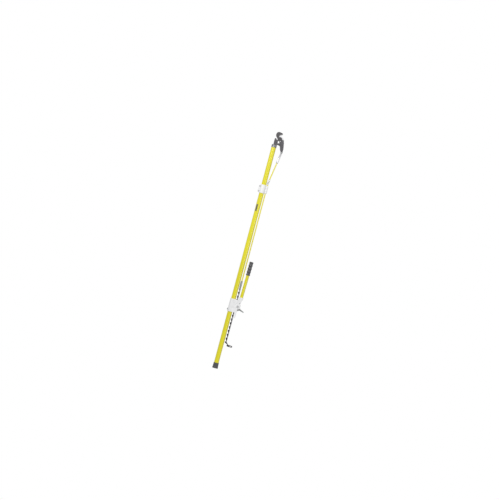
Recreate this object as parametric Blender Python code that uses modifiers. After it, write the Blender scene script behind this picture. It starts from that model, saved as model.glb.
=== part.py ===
# Hot stick ratchet cutter
# The pole stands along +Z, the pull rod and the lever lie on its +X side,
# and -Y is the front. Sizes below are millimetres, turned to metres by MM.

import math

import bmesh
import bpy
import numpy as np
from mathutils import Matrix, Vector

MM = 0.001

# Driving sizes
POLE_R = 19.05
POLE_WALL = 3.2
POLE_BOTTOM = 3.3
POLE_TOP = 1835.0
CAP_DEPTH = 45.0
CAP_WALL = 1.75
CAP_FLARE = 2.7
LABEL_LOW = 1305.0
LABEL_HIGH = 1361.0
LABEL_GAP = 0.2
LABEL_THICK = 0.35
SEAT = 0.3
RUN = 0.06

# Head, heights measured from the pole's top
FERRULE_R = 20.5
FERRULE_H = 24.0
SPIGOT_LEN = 60.0
HOOK_T = 8.0
CHEEK_IN = 8.6
CHEEK_OUT = 13.6
HANDLE_HALF = 14.0
ARM_PIVOT = (32.0, 34.6)
BLADE_PIVOT = (29.0, 71.5)
DRIVE_PIN = (44.0, 55.0)
ARM_END = (71.2, -27.0)
TAIL_BOLT = (9.0, 51.0)
DRIVE_PIN_R = 3.0
PIVOT_R = 5.0
END_PIN_R = 4.0

# Motion, per metre of rod travel, downwards counted positive
ARM_RATE = 20.0
BLADE_RATE = -18.0
LINK_RATE = -3.45
TOOTH_PITCH = 15.875
LINK_PITCH = 2.0 * TOOTH_PITCH
WHEEL_TEETH = 8
RATCHET_TEETH = 12
PITCH_R = TOOTH_PITCH / (2.0 * math.sin(math.pi / WHEEL_TEETH))
TRAVEL_UP = PITCH_R * math.pi / 2.0
TRAVEL_DOWN = 6.8

# Pull rod and link
ROD_U = 30.0
ROD_R = 4.76
LINK_Z = 1547.0
ROD_LOW = 704.0
CONNECTOR_TOP = 731.0
CONNECTOR_R = 8.0

# Guide clamp
GUIDE_LOW = 1455.0
GUIDE_HIGH = 1524.0
CLAMP_R = 24.0
EAR_REACH = 37.0
GUIDE_REACH = 40.0

# Ratchet
AXIS_U = ROD_U + PITCH_R
AXIS_Z = 525.0
FRAME_LOW = 471.0
FRAME_HIGH = 577.0
SIDE_IN = 18.5
SIDE_OUT = 22.0
SHAFT_R = 6.0
RATCHET_TIP = 16.0
RATCHET_ROOT = 13.0
RATCHET_Y = (-17.4, -11.6)
STEEP_AT = -69.8
HOLD_PIVOT = (72.0, 503.0)
HOLD_NOSE = -80.0
DRIVE_PIVOT_R = 29.0
DRIVE_PIVOT_AT = 74.0
DRIVE_NOSE = 105.0
FRAME_NOSE_R = 22.5
HUB_R = 10.0
NOSE_R = 1.6
NOSE_AT = 18.0
PAWL_PIN_R = 3.0
FINGER_END = (103.5, 491.5)

# Chain
ROLLER_R = 5.08
ROLLER_HALF = 4.5
INNER_Y = (4.8, 6.8)
OUTER_Y = (7.1, 9.1)
PLATE_R = 7.4
LINKS_DOWN = 14
TAIL_TURNS = (42.5, 88.0)
CHAIN_TOP = AXIS_Z + 9 * TOOTH_PITCH

# Lever
LEVER_TILT = 1.15
LEVER_SHIFT = 8.1
LEVER_R = 12.7
LEVER_WALL = 2.4
LEVER_LOW = 58.5
GRIP_LOW = 262.0
GRIP_HIGH = 375.0
GRIP_R = 16.0
YOKE_IN = 22.8
YOKE_OUT = 26.8


def clear_scene():
    """Remove everything that the file starts with."""
    for obj in list(bpy.data.objects):
        bpy.data.objects.remove(obj, do_unlink=True)


def collection(name):
    """Make a collection under the scene."""
    made = bpy.data.collections.new(name)
    bpy.context.scene.collection.children.link(made)
    return made


def material(name, colour, rough, metal):
    """Make a Principled material."""
    made = bpy.data.materials.new(name)
    made.use_nodes = True
    shader = made.node_tree.nodes["Principled BSDF"]
    shader.inputs["Base Color"].default_value = (*colour, 1.0)
    shader.inputs["Roughness"].default_value = rough
    shader.inputs["Metallic"].default_value = metal
    made.diffuse_color = (*colour, 1.0)
    return made


clear_scene()
PARTS = collection("hot_stick_ratchet_cutter")
CUTTERS = collection("cutters")

YELLOW = ((0.84, 0.76, 0.03), 0.35, 0.0)
FOAM = ((0.8, 0.76, 0.6), 0.9, 0.0)
BLACK = ((0.07, 0.07, 0.075), 0.55, 0.0)
DARK = ((0.13, 0.125, 0.13), 0.4, 0.6)
STEEL = ((0.5, 0.5, 0.5), 0.35, 1.0)
ZINC = ((0.45, 0.46, 0.45), 0.4, 0.9)
CAST = ((0.82, 0.82, 0.82), 0.5, 0.3)
NYLON = ((0.85, 0.85, 0.82), 0.5, 0.0)
LABEL = ((0.12, 0.12, 0.12), 0.6, 0.0)


def place(name, bm, look, origin=(0.0, 0.0, 0.0), turn=0.0, smooth=True):
    """Turn a bmesh in millimetres into a named piece at an origin."""
    bmesh.ops.recalc_face_normals(bm, faces=bm.faces[:])
    bmesh.ops.scale(bm, vec=(MM, MM, MM), verts=bm.verts[:])
    mesh = bpy.data.meshes.new(name)
    bm.to_mesh(mesh)
    bm.free()
    obj = bpy.data.objects.new(name, mesh)
    obj.location = Vector(origin) * MM
    obj.rotation_euler = (0.0, turn, 0.0)
    if look is None:
        CUTTERS.objects.link(obj)
        obj.hide_render = True
        obj.display_type = "WIRE"
        return obj
    PARTS.objects.link(obj)
    mesh.materials.append(material(name, *look))
    if smooth:
        mesh.shade_smooth()
        mesh.set_sharp_from_angle(angle=math.radians(35))
    return obj


def cut(obj, tool, how="DIFFERENCE"):
    """Join or cut a piece with a hidden one."""
    step = obj.modifiers.new(tool.name, "BOOLEAN")
    step.operation = how
    step.solver = "EXACT"
    step.object = tool
    return obj


def prism(outline, y0, y1, other=None, bm=None):
    """A flat piece between two heights of Y; a second outline slants its sides."""
    bm = bm or bmesh.new()
    other = outline if other is None else other
    low = [bm.verts.new((u, y0, v)) for u, v in outline]
    high = [bm.verts.new((u, y1, v)) for u, v in other]
    bm.faces.new(low)
    bm.faces.new(high[::-1])
    count = len(low)
    for k in range(count):
        n = (k + 1) % count
        bm.faces.new((low[k], high[k], high[n], low[n]))
    return bm


def circle(u, v, r, count=24, start=0.0):
    """Points of a circle."""
    turn = 2.0 * math.pi / count
    return [
        (u + r * math.cos(start + k * turn), v + r * math.sin(start + k * turn))
        for k in range(count)
    ]


def hull(circles, count=16):
    """The belt around a few circles, given as u, v and radius."""
    points = []
    for u, v, r in circles:
        points += circle(u, v, r, count, 0.013)
    points = sorted(set((round(a, 5), round(b, 5)) for a, b in points))
    chains = []
    for run in (points, points[::-1]):
        chain = []
        for p in run:
            while len(chain) > 1 and cross(chain[-2], chain[-1], p) <= 1e-6:
                chain.pop()
            chain.append(p)
        chains += chain[:-1]
    return chains


def cross(a, b, c):
    """Twice the signed area of a triangle."""
    return (b[0] - a[0]) * (c[1] - a[1]) - (b[1] - a[1]) * (c[0] - a[0])


def flowing(points, steps=3):
    """A closed curve that passes smoothly through the points."""
    p = np.array(points, float)
    out = []
    for k in range(len(p)):
        a, b, c, d = p[k - 1], p[k], p[(k + 1) % len(p)], p[(k + 2) % len(p)]
        for t in np.arange(steps) / steps:
            q = 2 * b + (c - a) * t
            q = q + (2 * a - 5 * b + 4 * c - d) * t**2
            q = q + (3 * b - a - 3 * c + d) * t**3
            out.append((float(q[0]) / 2, float(q[1]) / 2))
    return out


def raised(points, base):
    """Shift an outline up by a height."""
    return [(u, v + base) for u, v in points]


def rod_y(r, y0, y1, u, z, count=24):
    """A solid round bar along Y."""
    return prism(circle(u, z, r, count), y0, y1)


def add_rod_y(bm, r, y0, y1, u, z, count=24):
    """The same, added to another bmesh."""
    return prism(circle(u, z, r, count), y0, y1, None, bm)


def lathe(name, profile, look, origin=(0.0, 0.0, 0.0), turn=0.0, steps=32):
    """A turned piece: the profile goes round the piece's own Z."""
    bm = bmesh.new()
    verts = [bm.verts.new((r, 0.0, z)) for r, z in profile]
    for a, b in zip(verts, verts[1:]):
        bm.edges.new((a, b))
    if profile[0][0] > 0.0:
        bm.edges.new((verts[-1], verts[0]))
    bmesh.ops.scale(bm, vec=(MM, MM, MM), verts=bm.verts[:])
    mesh = bpy.data.meshes.new(name)
    bm.to_mesh(mesh)
    bm.free()
    obj = bpy.data.objects.new(name, mesh)
    obj.location = Vector(origin) * MM
    obj.rotation_euler = (0.0, turn, 0.0)
    home = PARTS if look else CUTTERS
    home.objects.link(obj)
    if look:
        mesh.materials.append(material(name, *look))
    else:
        obj.hide_render = True
        obj.display_type = "WIRE"
    screw = obj.modifiers.new("turn", "SCREW")
    screw.axis = "Z"
    screw.steps = steps
    screw.render_steps = steps
    screw.use_merge_vertices = True
    screw.merge_threshold = 0.00001
    screw.use_smooth_shade = True
    return obj


def ring_profile(r0, r1, z0, z1):
    """The profile of a plain ring."""
    return [(r1, z1), (r1, z0), (r0, z0), (r0, z1)]


def bar_profile(r, z0, z1, chamfer=0.5):
    """The profile of a plain bar with chamfered ends."""
    return [
        (0.0, z1),
        (r - chamfer, z1),
        (r, z1 - chamfer),
        (r, z0 + chamfer),
        (r - chamfer, z0),
        (0.0, z0),
    ]


def hexagon(u, v, r):
    """A bolt head's outline."""
    return circle(u, v, r, 6, 0.2)


# Pole

def pole_pieces():
    """The tube, its foam, the butt cap and the plain label."""
    inner = POLE_R - POLE_WALL
    lathe("pole_tube", ring_profile(inner, POLE_R, POLE_BOTTOM, POLE_TOP), YELLOW)
    top = POLE_TOP - SPIGOT_LEN - 1.0
    lathe("foam_core", bar_profile(inner - SEAT, POLE_BOTTOM + 1.0, top), FOAM, steps=16)
    rim = POLE_R + CAP_WALL
    foot = rim + CAP_FLARE
    cup = [
        (0.0, POLE_BOTTOM - SEAT),
        (POLE_R + SEAT, POLE_BOTTOM - SEAT),
        (POLE_R + SEAT, CAP_DEPTH),
        (rim, CAP_DEPTH),
        (rim + 0.5, CAP_DEPTH - 1.0),
        (rim + 0.8, 16.0),
        (foot - 0.1, 7.0),
        (foot, 1.2),
        (foot - 1.2, 0.0),
        (0.0, 0.0),
    ]
    lathe("butt_cap", cup, BLACK, (0.0, 0.0, 0.0), 0.0, 24)
    bm = bmesh.new()
    a = np.radians(np.linspace(222.0, 262.0, 9))
    back = POLE_R + LABEL_GAP
    face = back + LABEL_THICK
    outer = [(face * math.cos(t), face * math.sin(t)) for t in a]
    inside = [(back * math.cos(t), back * math.sin(t)) for t in a[::-1]]
    ring = outer + inside
    low = [bm.verts.new((x, y, LABEL_LOW)) for x, y in ring]
    high = [bm.verts.new((x, y, LABEL_HIGH)) for x, y in ring]
    bm.faces.new(low)
    bm.faces.new(high[::-1])
    for k in range(len(ring)):
        n = (k + 1) % len(ring)
        bm.faces.new((low[k], high[k], high[n], low[n]))
    place("blank_label", bm, LABEL)


# Head

def ferrule():
    """The plug that carries the head on the pole's end."""
    z = POLE_TOP
    profile = [
        (0.0, z + FERRULE_H),
        (17.5, z + FERRULE_H),
        (FERRULE_R, z + FERRULE_H - 3.0),
        (FERRULE_R, z + 5.0),
        (21.0, z + 4.5),
        (21.0, z + SEAT + 0.5),
        (20.5, z + SEAT),
        (POLE_R - POLE_WALL - SEAT, z + SEAT),
        (POLE_R - POLE_WALL - SEAT, z - SPIGOT_LEN + 1.0),
        (14.5, z - SPIGOT_LEN),
        (0.0, z - SPIGOT_LEN),
    ]
    lathe("head_ferrule", profile, STEEL, (0.0, 0.0, 0.0), 0.0, 24)


def fixed_handle():
    """The block on the ferrule, slotted for the hook and lugged for the arm."""
    base = POLE_TOP
    low = FERRULE_H + SEAT + 7.0
    shape = hull([(-3, low, 7), (15, low, 7), (15, 52, 6), (-4, 70, 6)])
    bm = prism(raised(shape, base), -HANDLE_HALF, HANDLE_HALF)
    block = place("fixed_handle", bm, DARK)
    lug = hull([(13, 34, 7.5), (*ARM_PIVOT, 8)])
    cut(block, place("lug", prism(raised(lug, base), -HOOK_T, -0.2), None), "UNION")
    slot = [(-30, 39), (26, 39), (26, 100), (-30, 100)]
    tool = prism(raised(slot, base), -HOOK_T - SEAT, 0.25)
    cut(block, place("hook_slot", tool, None))
    u, v = BLADE_PIVOT
    sweep = rod_y(34.5, 0.1, HOOK_T + SEAT, u, v + base, 48)
    cut(block, place("blade_sweep", sweep, None))
    u, v = TAIL_BOLT
    hole = rod_y(4.0 + SEAT, -30, 30, u, v + base)
    cut(block, place("tail_hole", hole, None))
    u, v = ARM_PIVOT
    hole = rod_y(PIVOT_R + SEAT, -30, 30, u, v + base)
    cut(block, place("lug_hole", hole, None))


HOOK = [
    (1, 50), (6, 43), (14, 44), (18, 54), (22, 61), (29, 62.7), (37, 68), (36.5, 76),
    (29, 81), (22, 89), (20, 99), (23, 109), (32, 114), (41, 117), (44.5, 121),
    (41, 126), (26, 130), (8, 131), (-4, 121), (-7.5, 106), (-4, 93), (4, 82),
    (12, 74), (12, 66), (7, 58),
]
HOOK_EDGE = {9: (23.5, 90), 10: (24, 97), 11: (27.5, 104), 12: (34, 108.5), 13: (42.5, 112.5)}
BLADE = [
    (18, 71), (21, 84), (25, 95), (30, 100.5), (41, 98), (51, 91.7), (61, 82),
    (66.7, 70.8), (62, 60), (54, 52), (51, 44), (43, 42.5), (35, 48), (27, 58), (21, 62),
]
BLADE_EDGE = {2: (24, 92), 3: (29, 94.5), 4: (38.5, 92.5), 5: (47.5, 87), 6: (56, 79)}


def hook_blade():
    """The fixed hook, with its edge ground back from the shear face."""
    front = raised(flowing(HOOK), POLE_TOP)
    points = [HOOK_EDGE.get(k, p) for k, p in enumerate(HOOK)]
    back = raised(flowing(points), POLE_TOP)
    bm = prism(front, -HOOK_T, -0.15, back)
    hook = place("hook_blade", bm, DARK)
    u, v = BLADE_PIVOT
    hole = rod_y(PIVOT_R + SEAT, -30, 30, u, v + POLE_TOP)
    cut(hook, place("hook_hole", hole, None))
    u, v = TAIL_BOLT
    hole = rod_y(4.0 + SEAT, -30, 30, u, v + POLE_TOP)
    cut(hook, place("hook_tail_hole", hole, None))


def turned(point, centre, angle):
    """Turn a point clockwise, as the front sees it, about a centre."""
    x = point[0] - centre[0]
    z = point[1] - centre[1]
    c = math.cos(angle)
    s = math.sin(angle)
    return (centre[0] + x * c + z * s, centre[1] - x * s + z * c)


def travel_steps(count=13):
    """Rod travel in metres, from all the way up to all the way down."""
    return [float(t) for t in np.linspace(-TRAVEL_UP * MM, TRAVEL_DOWN * MM, count)]


def cutting_blade():
    """The moving blade, driven by the arm's pin in a curved slot."""
    u, v = BLADE_PIVOT
    base = POLE_TOP
    back = [(a - u, b - v) for a, b in flowing(BLADE)]
    points = [BLADE_EDGE.get(k, p) for k, p in enumerate(BLADE)]
    rear = [(a - u, b - v) for a, b in flowing(points)]
    bm = prism(back, 0.15, HOOK_T, rear)
    blade = place("cutting_blade", bm, DARK, (u, 0.0, v + base))
    hole = rod_y(PIVOT_R + RUN, -30, 30, 0, 0)
    cut(blade, place("blade_hole", hole, None, (u, 0.0, v + base)))
    path = []
    for s in travel_steps():
        pin = turned(DRIVE_PIN, ARM_PIVOT, ARM_RATE * s)
        spot = turned(pin, BLADE_PIVOT, -BLADE_RATE * s)
        path.append((spot[0] - u, spot[1] - v))
    half = DRIVE_PIN_R + SEAT
    for k in range(4):
        part = [(a, b, half) for a, b in path[3 * k : 3 * k + 4]]
        tool = prism(hull(part, 24), -2.0 - 0.1 * k, 12.0 + 0.1 * k)
        cut(blade, place(f"blade_slot_{k}", tool, None, (u, 0.0, v + base)))
    path = []
    for s in travel_steps():
        spot = turned(ARM_PIVOT, BLADE_PIVOT, -BLADE_RATE * s)
        path.append((spot[0] - u, spot[1] - v))
    for k in range(4):
        part = [(a, b, PIVOT_R + 0.6) for a, b in path[3 * k : 3 * k + 4]]
        tool = prism(hull(part, 24), -3.0 - 0.1 * k, 13.0 + 0.1 * k)
        cut(blade, place(f"blade_relief_{k}", tool, None, (u, 0.0, v + base)))


ARM = [
    (24.2, 36), (26, 29), (33, 26.6), (41, 24.5), (47, 16), (52, -1), (57, -12),
    (67, -15.5), (76, -12), (79, 0), (76.5, 20), (73, 39), (70, 56), (63, 65.5),
    (50, 66.5), (40.5, 61.5), (37.5, 53), (36, 44), (30, 42.4),
]


def cutter_arm():
    """The forked arm that pulls the blade round, with its long end eye."""
    u, v = ARM_PIVOT
    base = POLE_TOP
    home = (u, 0.0, v + base)
    side = [(a - u, b - v) for a, b in flowing(ARM)]
    arm = place("cutter_arm", prism(side, -CHEEK_OUT, -CHEEK_IN), DARK, home)
    other = prism(side, CHEEK_IN, CHEEK_OUT)
    cut(arm, place("arm_rear", other, None, home), "UNION")
    web = hull([(63.5 - u, 12 - v, 10.5), (67 - u, 1 - v, 10.5)])
    cut(arm, place("arm_web", prism(web, -9.4, 9.4), None, home), "UNION")
    tongue = hull([(67 - u, 2 - v, 9.5), (ARM_END[0] - u, ARM_END[1] - v, 8.5)])
    cut(arm, place("arm_tongue", prism(tongue, -5.0, 5.0), None, home), "UNION")
    cut(arm, place("arm_hole", rod_y(PIVOT_R + RUN, -30, 30, 0, 0), None, home))
    pin = (DRIVE_PIN[0] - u, DRIVE_PIN[1] - v)
    hole = rod_y(DRIVE_PIN_R + SEAT, -30, 30, *pin)
    cut(arm, place("arm_pin_hole", hole, None, home))
    spots = []
    for s in travel_steps():
        tilt = LINK_TILT + LINK_RATE * s
        z = LINK_Z - s / MM - base
        end = (ROD_U + LINK_L * math.sin(tilt), z + LINK_L * math.cos(tilt))
        spot = turned(end, ARM_PIVOT, -ARM_RATE * s)
        spots.append((spot[0] - u, spot[1] - v, END_PIN_R + SEAT))
    cut(arm, place("arm_eye", prism(hull(spots), -30, 30), None, home))
    pin_bm = rod_y(DRIVE_PIN_R, -CHEEK_OUT, CHEEK_OUT, *pin)
    place("drive_pin", pin_bm, ZINC, home)


def bolt(name, u, z, r, y0, y1, head, look=ZINC):
    """A hexagon bolt along Y with its head at the front, and its nut."""
    bm = rod_y(r, y0, y1 + head * 0.55, u, z)
    place(name, bm, look)
    shank = bpy.data.objects[name]
    cap = prism(hexagon(u, z, head), y0 - head * 0.6, y0 + 0.0)
    cut(shank, place(name + "_head", cap, None), "UNION")
    nut_low = y1
    nut = prism(hexagon(u, z, head), nut_low, nut_low + head * 0.5)
    made = place(name + "_nut", nut, look)
    cut(made, place(name + "_bore", rod_y(r + SEAT, y1 - 5, y1 + 20, u, z), None))


def head_bolts():
    """The bolts and pins that hold the head together."""
    base = POLE_TOP
    u, v = ARM_PIVOT
    bolt("arm_bolt", u, v + base, PIVOT_R, -CHEEK_OUT - SEAT, CHEEK_OUT + SEAT, 8.5)
    u, v = TAIL_BOLT
    bolt("hook_bolt", u, v + base, 4.0, -HANDLE_HALF - SEAT, HANDLE_HALF + SEAT, 7.0)
    u, v = BLADE_PIVOT
    place("blade_pivot", rod_y(PIVOT_R, -8.3, 8.3, u, v + base), STEEL)


# Link above the guide

LINK_DU = ARM_END[0] - ROD_U
LINK_DZ = ARM_END[1] + POLE_TOP - LINK_Z
LINK_L = math.hypot(LINK_DU, LINK_DZ)
LINK_TILT = math.atan2(LINK_DU, LINK_DZ)


def socket(name, r, z0, z1, bore0, bore1, look, origin, turn):
    """A barrel with a bore from one end."""
    if bore1 >= z1:
        profile = [
            (0.0, bore0), (ROD_R + SEAT, bore0), (ROD_R + SEAT, z1), (r - 0.8, z1),
            (r, z1 - 0.8), (r, z0 + 0.8), (r - 0.8, z0), (0.0, z0),
        ]
    else:
        profile = [
            (0.0, z1), (r - 0.8, z1), (r, z1 - 0.8), (r, z0 + 0.8), (r - 0.8, z0),
            (ROD_R + SEAT, z0), (ROD_R + SEAT, bore1), (0.0, bore1),
        ]
    return lathe(name, profile, look, origin, turn, 24)


def link_pieces():
    """The leaning rod between the coupler and the arm's end."""
    home = (ROD_U, 0.0, LINK_Z)
    t = LINK_TILT
    eye = socket("link_eye", 7.0, 9.5, 27.0, 15.0, 27.0, STEEL, home, t)
    flat = prism(hull([(0, 0, 6.6), (0, 7.5, 6.2)]), -3.4, 3.4)
    cut(eye, place("eye_flat", flat, None, home, t), "UNION")
    cut(eye, place("eye_hole", rod_y(3.0 + RUN, -20, 20, 0, 0, 16), None, home, t))
    high = LINK_L - 60.0
    lathe("upper_rod", bar_profile(ROD_R, 15.5, high), YELLOW, home, t, 24)
    nut = prism(circle(0, 0, 8.6, 6), 0.0, 7.0)
    bmesh.ops.rotate(nut, cent=(0, 0, 0), matrix=Matrix.Rotation(math.pi / 2, 3, "X"), verts=nut.verts[:])
    low = LINK_L - 84.0 - 7.3
    bmesh.ops.translate(nut, vec=(0, 0, low), verts=nut.verts[:])
    made = place("link_nut", nut, ZINC, home, t, False)
    bore = lathe("nut_bore", bar_profile(ROD_R + SEAT, low - 9, low + 9), None, home, t, 24)
    cut(made, bore)
    clevis = socket(
        "link_clevis", 8.0, LINK_L - 84.0, LINK_L - 30.0, LINK_L - 84.0, LINK_L - 59.0,
        STEEL, home, t,
    )
    block = prism(hull([(0, LINK_L - 38, 7.5), (0, LINK_L - 27, 7.5)]), -8.3, 8.3)
    cut(clevis, place("clevis_block", block, None, home, t), "UNION")
    for k, (a, b) in enumerate(((-8.2, -5.1), (5.1, 8.2))):
        cheek = prism(hull([(0, LINK_L, 7.8), (0, LINK_L - 30, 7.2)]), a, b)
        cut(clevis, place(f"clevis_side_{k}", cheek, None, home, t), "UNION")
    gap = prism(hull([(0, LINK_L + 12, 16), (0, LINK_L - 5.5, 16)]), -5.4, 5.4)
    cut(clevis, place("clevis_gap", gap, None, home, t))
    hole = rod_y(END_PIN_R + SEAT, -20, 20, 0, LINK_L)
    cut(clevis, place("clevis_hole", hole, None, home, t))
    pin = rod_y(END_PIN_R, -9.5, 9.5, 0, LINK_L)
    made = place("clevis_pin", pin, ZINC, home, t)
    for k, (a, b) in enumerate(((-11.2, -8.6), (8.6, 11.2))):
        disc = rod_y(6.2, a, b, 0, LINK_L)
        cut(made, place(f"pin_head_{k}", disc, None, home, t), "UNION")


# Pull rod

def rod_pieces():
    """The lower rod with the coupler at its top and the chain fork below."""
    home = (ROD_U, 0.0, 0.0)
    base_low = GUIDE_HIGH + TRAVEL_DOWN + 0.6
    base_high = LINK_Z - 7.4
    coupler = lathe(
        "rod_coupler",
        [
            (0.0, base_high), (7.2, base_high), (8.0, base_high - 0.8),
            (8.0, base_low + 0.6), (7.4, base_low), (ROD_R + SEAT, base_low),
            (ROD_R + SEAT, base_high - 2.0), (0.0, base_high - 2.0),
        ],
        STEEL, home, 0.0, 24,
    )
    for k, (a, b) in enumerate(((-7.4, -3.5), (3.5, 7.4))):
        side = prism(hull([(0, LINK_Z, 6.6), (0, base_high + 3.2, 5.0)]), a, b)
        cut(coupler, place(f"coupler_side_{k}", side, None, home), "UNION")
    gap = rod_y(8.4, -3.8, 3.8, 0, LINK_Z + 1.6)
    cut(coupler, place("coupler_gap", gap, None, home))
    hole = rod_y(3.0 + SEAT, -20, 20, 0, LINK_Z, 16)
    cut(coupler, place("coupler_hole", hole, None, home))
    pin = rod_y(3.0, -8.0, 8.0, ROD_U, LINK_Z, 16)
    place("coupler_pin", pin, ZINC)
    lathe("lower_rod", bar_profile(ROD_R, ROD_LOW, base_high - 2.5), YELLOW, home, 0.0, 24)
    fork = socket(
        "chain_fork", CONNECTOR_R, 684.0, CONNECTOR_TOP, ROD_LOW - SEAT, CONNECTOR_TOP,
        ZINC, home, 0.0,
    )
    block = prism(hull([(0, 688, 7.6), (0, 694, 7.6)]), -10.2, 10.2)
    cut(fork, place("fork_block", block, None, home), "UNION")
    for k, (a, b) in enumerate(((-10.1, -6.8), (6.8, 10.1))):
        side = prism(hull([(0, CHAIN_TOP, 7.5), (0, 690, 7.5)]), a, b)
        cut(fork, place(f"fork_side_{k}", side, None, home), "UNION")
    gap = prism(hull([(0, CHAIN_TOP + 1, 10.5), (0, CHAIN_TOP - 9, 10.5)]), -7.1, 7.1)
    cut(fork, place("fork_gap", gap, None, home))
    hole = rod_y(2.5 + SEAT, -20, 20, 0, CHAIN_TOP, 12)
    cut(fork, place("fork_hole", hole, None, home))
    rings = [(-12.0, 3.8), (-10.4, 3.8), (-10.4, 2.5), (10.4, 2.5), (10.4, 3.8), (12.0, 3.8)]
    bm = bmesh.new()
    stepped(bm, rings, ROD_U, CHAIN_TOP, 12)
    place("fork_pin", bm, ZINC)


def chain_joints():
    """Where the chain's pins are: down, then along the short tail."""
    spots = [(ROD_U, CHAIN_TOP - k * LINK_PITCH) for k in range(LINKS_DOWN + 1)]
    for turn in TAIL_TURNS:
        u, z = spots[-1]
        a = math.radians(turn)
        spots.append((u + LINK_PITCH * math.sin(a), z - LINK_PITCH * math.cos(a)))
    return spots


def stepped(bm, rings, u, z, count):
    """A round piece along Y whose radius steps at the given heights."""
    loops = []
    for y, r in rings:
        loops.append([bm.verts.new((a, y, b)) for a, b in circle(u, z, r, count, 0.2)])
    bm.faces.new(loops[0])
    bm.faces.new(loops[-1][::-1])
    for low, high in zip(loops, loops[1:]):
        for k in range(count):
            n = (k + 1) % count
            bm.faces.new((low[k], high[k], high[n], low[n]))


def collar(bm, u, z, half, inner, outer, count):
    """A ring round an axis along Y."""
    loops = []
    for y, r in ((-half, outer), (half, outer), (half, inner), (-half, inner)):
        loops.append([bm.verts.new((a, y, b)) for a, b in circle(u, z, r, count, 0.2)])
    for low, high in zip(loops, loops[1:] + loops[:1]):
        for k in range(count):
            n = (k + 1) % count
            bm.faces.new((low[k], high[k], high[n], low[n]))


def chain_pieces():
    """The chain: pairs of plates on riveted pins with rollers."""
    spots = chain_joints()
    plates = bmesh.new()
    for k, (a, b) in enumerate(zip(spots, spots[1:])):
        shape = hull([(*a, PLATE_R), (*b, PLATE_R)], 12)
        y0, y1 = INNER_Y if k % 2 == 0 else OUTER_Y
        prism(shape, y0, y1, None, plates)
        prism(shape, -y1, -y0, None, plates)
    chain = place("roller_chain", plates, ZINC)
    hole = rod_y(2.5 + SEAT, -20, 20, *spots[0], 16)
    cut(chain, place("chain_top_hole", hole, None))
    pins = bmesh.new()
    end = 0.5 * (INNER_Y[0] + INNER_Y[1])
    collar(pins, *spots[0], end, 3.1, ROLLER_R, 12)
    tip = OUTER_Y[1] + 1.0
    rings = [(-tip, 2.5), (-ROLLER_HALF, 2.5), (-ROLLER_HALF, ROLLER_R)]
    rings += [(-y, r) for y, r in rings[::-1]]
    for u, z in spots[1:]:
        stepped(pins, rings, u, z, 12)
    cut(chain, place("chain_pins", pins, None), "UNION")


# Guide clamp

def guide_pieces():
    """The cast guide with its pinch ears, bushing and bolts."""
    mid = 0.5 * (GUIDE_LOW + GUIDE_HIGH)
    body = lathe("guide_clamp", bar_profile(CLAMP_R, GUIDE_LOW, GUIDE_HIGH, 1.5), CAST)
    ears = prism(
        hull([(-16, GUIDE_LOW + 5, 4.5), (-16, GUIDE_HIGH - 5, 4.5),
              (-EAR_REACH + 8.5, GUIDE_LOW + 12, 8.5), (-EAR_REACH + 11, GUIDE_HIGH - 14, 8.5)]),
        -8.5, 8.5,
    )
    cut(body, place("guide_ears", ears, None), "UNION")
    boss = lathe(
        "guide_boss", bar_profile(GUIDE_REACH - ROD_U, GUIDE_LOW + 4, GUIDE_HIGH - 4, 1.0),
        None, (ROD_U, 0.0, 0.0), 0.0, 32,
    )
    cut(body, boss, "UNION")
    neck = prism(hull([(12, GUIDE_LOW + 10, 5), (12, GUIDE_HIGH - 10, 5),
                       (29, GUIDE_LOW + 10, 5), (29, GUIDE_HIGH - 10, 5)]), -9.0, 9.0)
    cut(body, place("guide_neck", neck, None), "UNION")
    slit = prism([(-60, GUIDE_LOW - 9), (-10, GUIDE_LOW - 9),
                  (-10, GUIDE_HIGH + 9), (-60, GUIDE_HIGH + 9)], -1.6, 1.6)
    cut(body, place("guide_slit", slit, None))
    for k, z in enumerate((GUIDE_LOW + 13, GUIDE_HIGH - 16)):
        u = -EAR_REACH + 8.5 + 1.0 * k
        hole = rod_y(3.0 + SEAT, -30, 30, u, z, 16)
        cut(body, place(f"ear_hole_{k}", hole, None))
        bolt(f"guide_bolt_{k}", u, z, 3.0, -8.5 - SEAT, 8.5 + SEAT, 5.4)
    seat = bar_profile(7.2 + SEAT, GUIDE_LOW - 9, GUIDE_HIGH + 9)
    cut(body, lathe("guide_seat", seat, None, (ROD_U, 0.0, 0.0), 0.0, 24))
    bore = bar_profile(POLE_R + SEAT, GUIDE_LOW - 9, GUIDE_HIGH + 9)
    cut(body, lathe("guide_bore", bore, None))
    bush = ring_profile(ROD_R + RUN, 7.2, GUIDE_LOW + 3, GUIDE_HIGH - 3)
    lathe("guide_bushing", bush, NYLON, (ROD_U, 0.0, 0.0), 0.0, 24)
    return mid


# Ratchet

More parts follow.
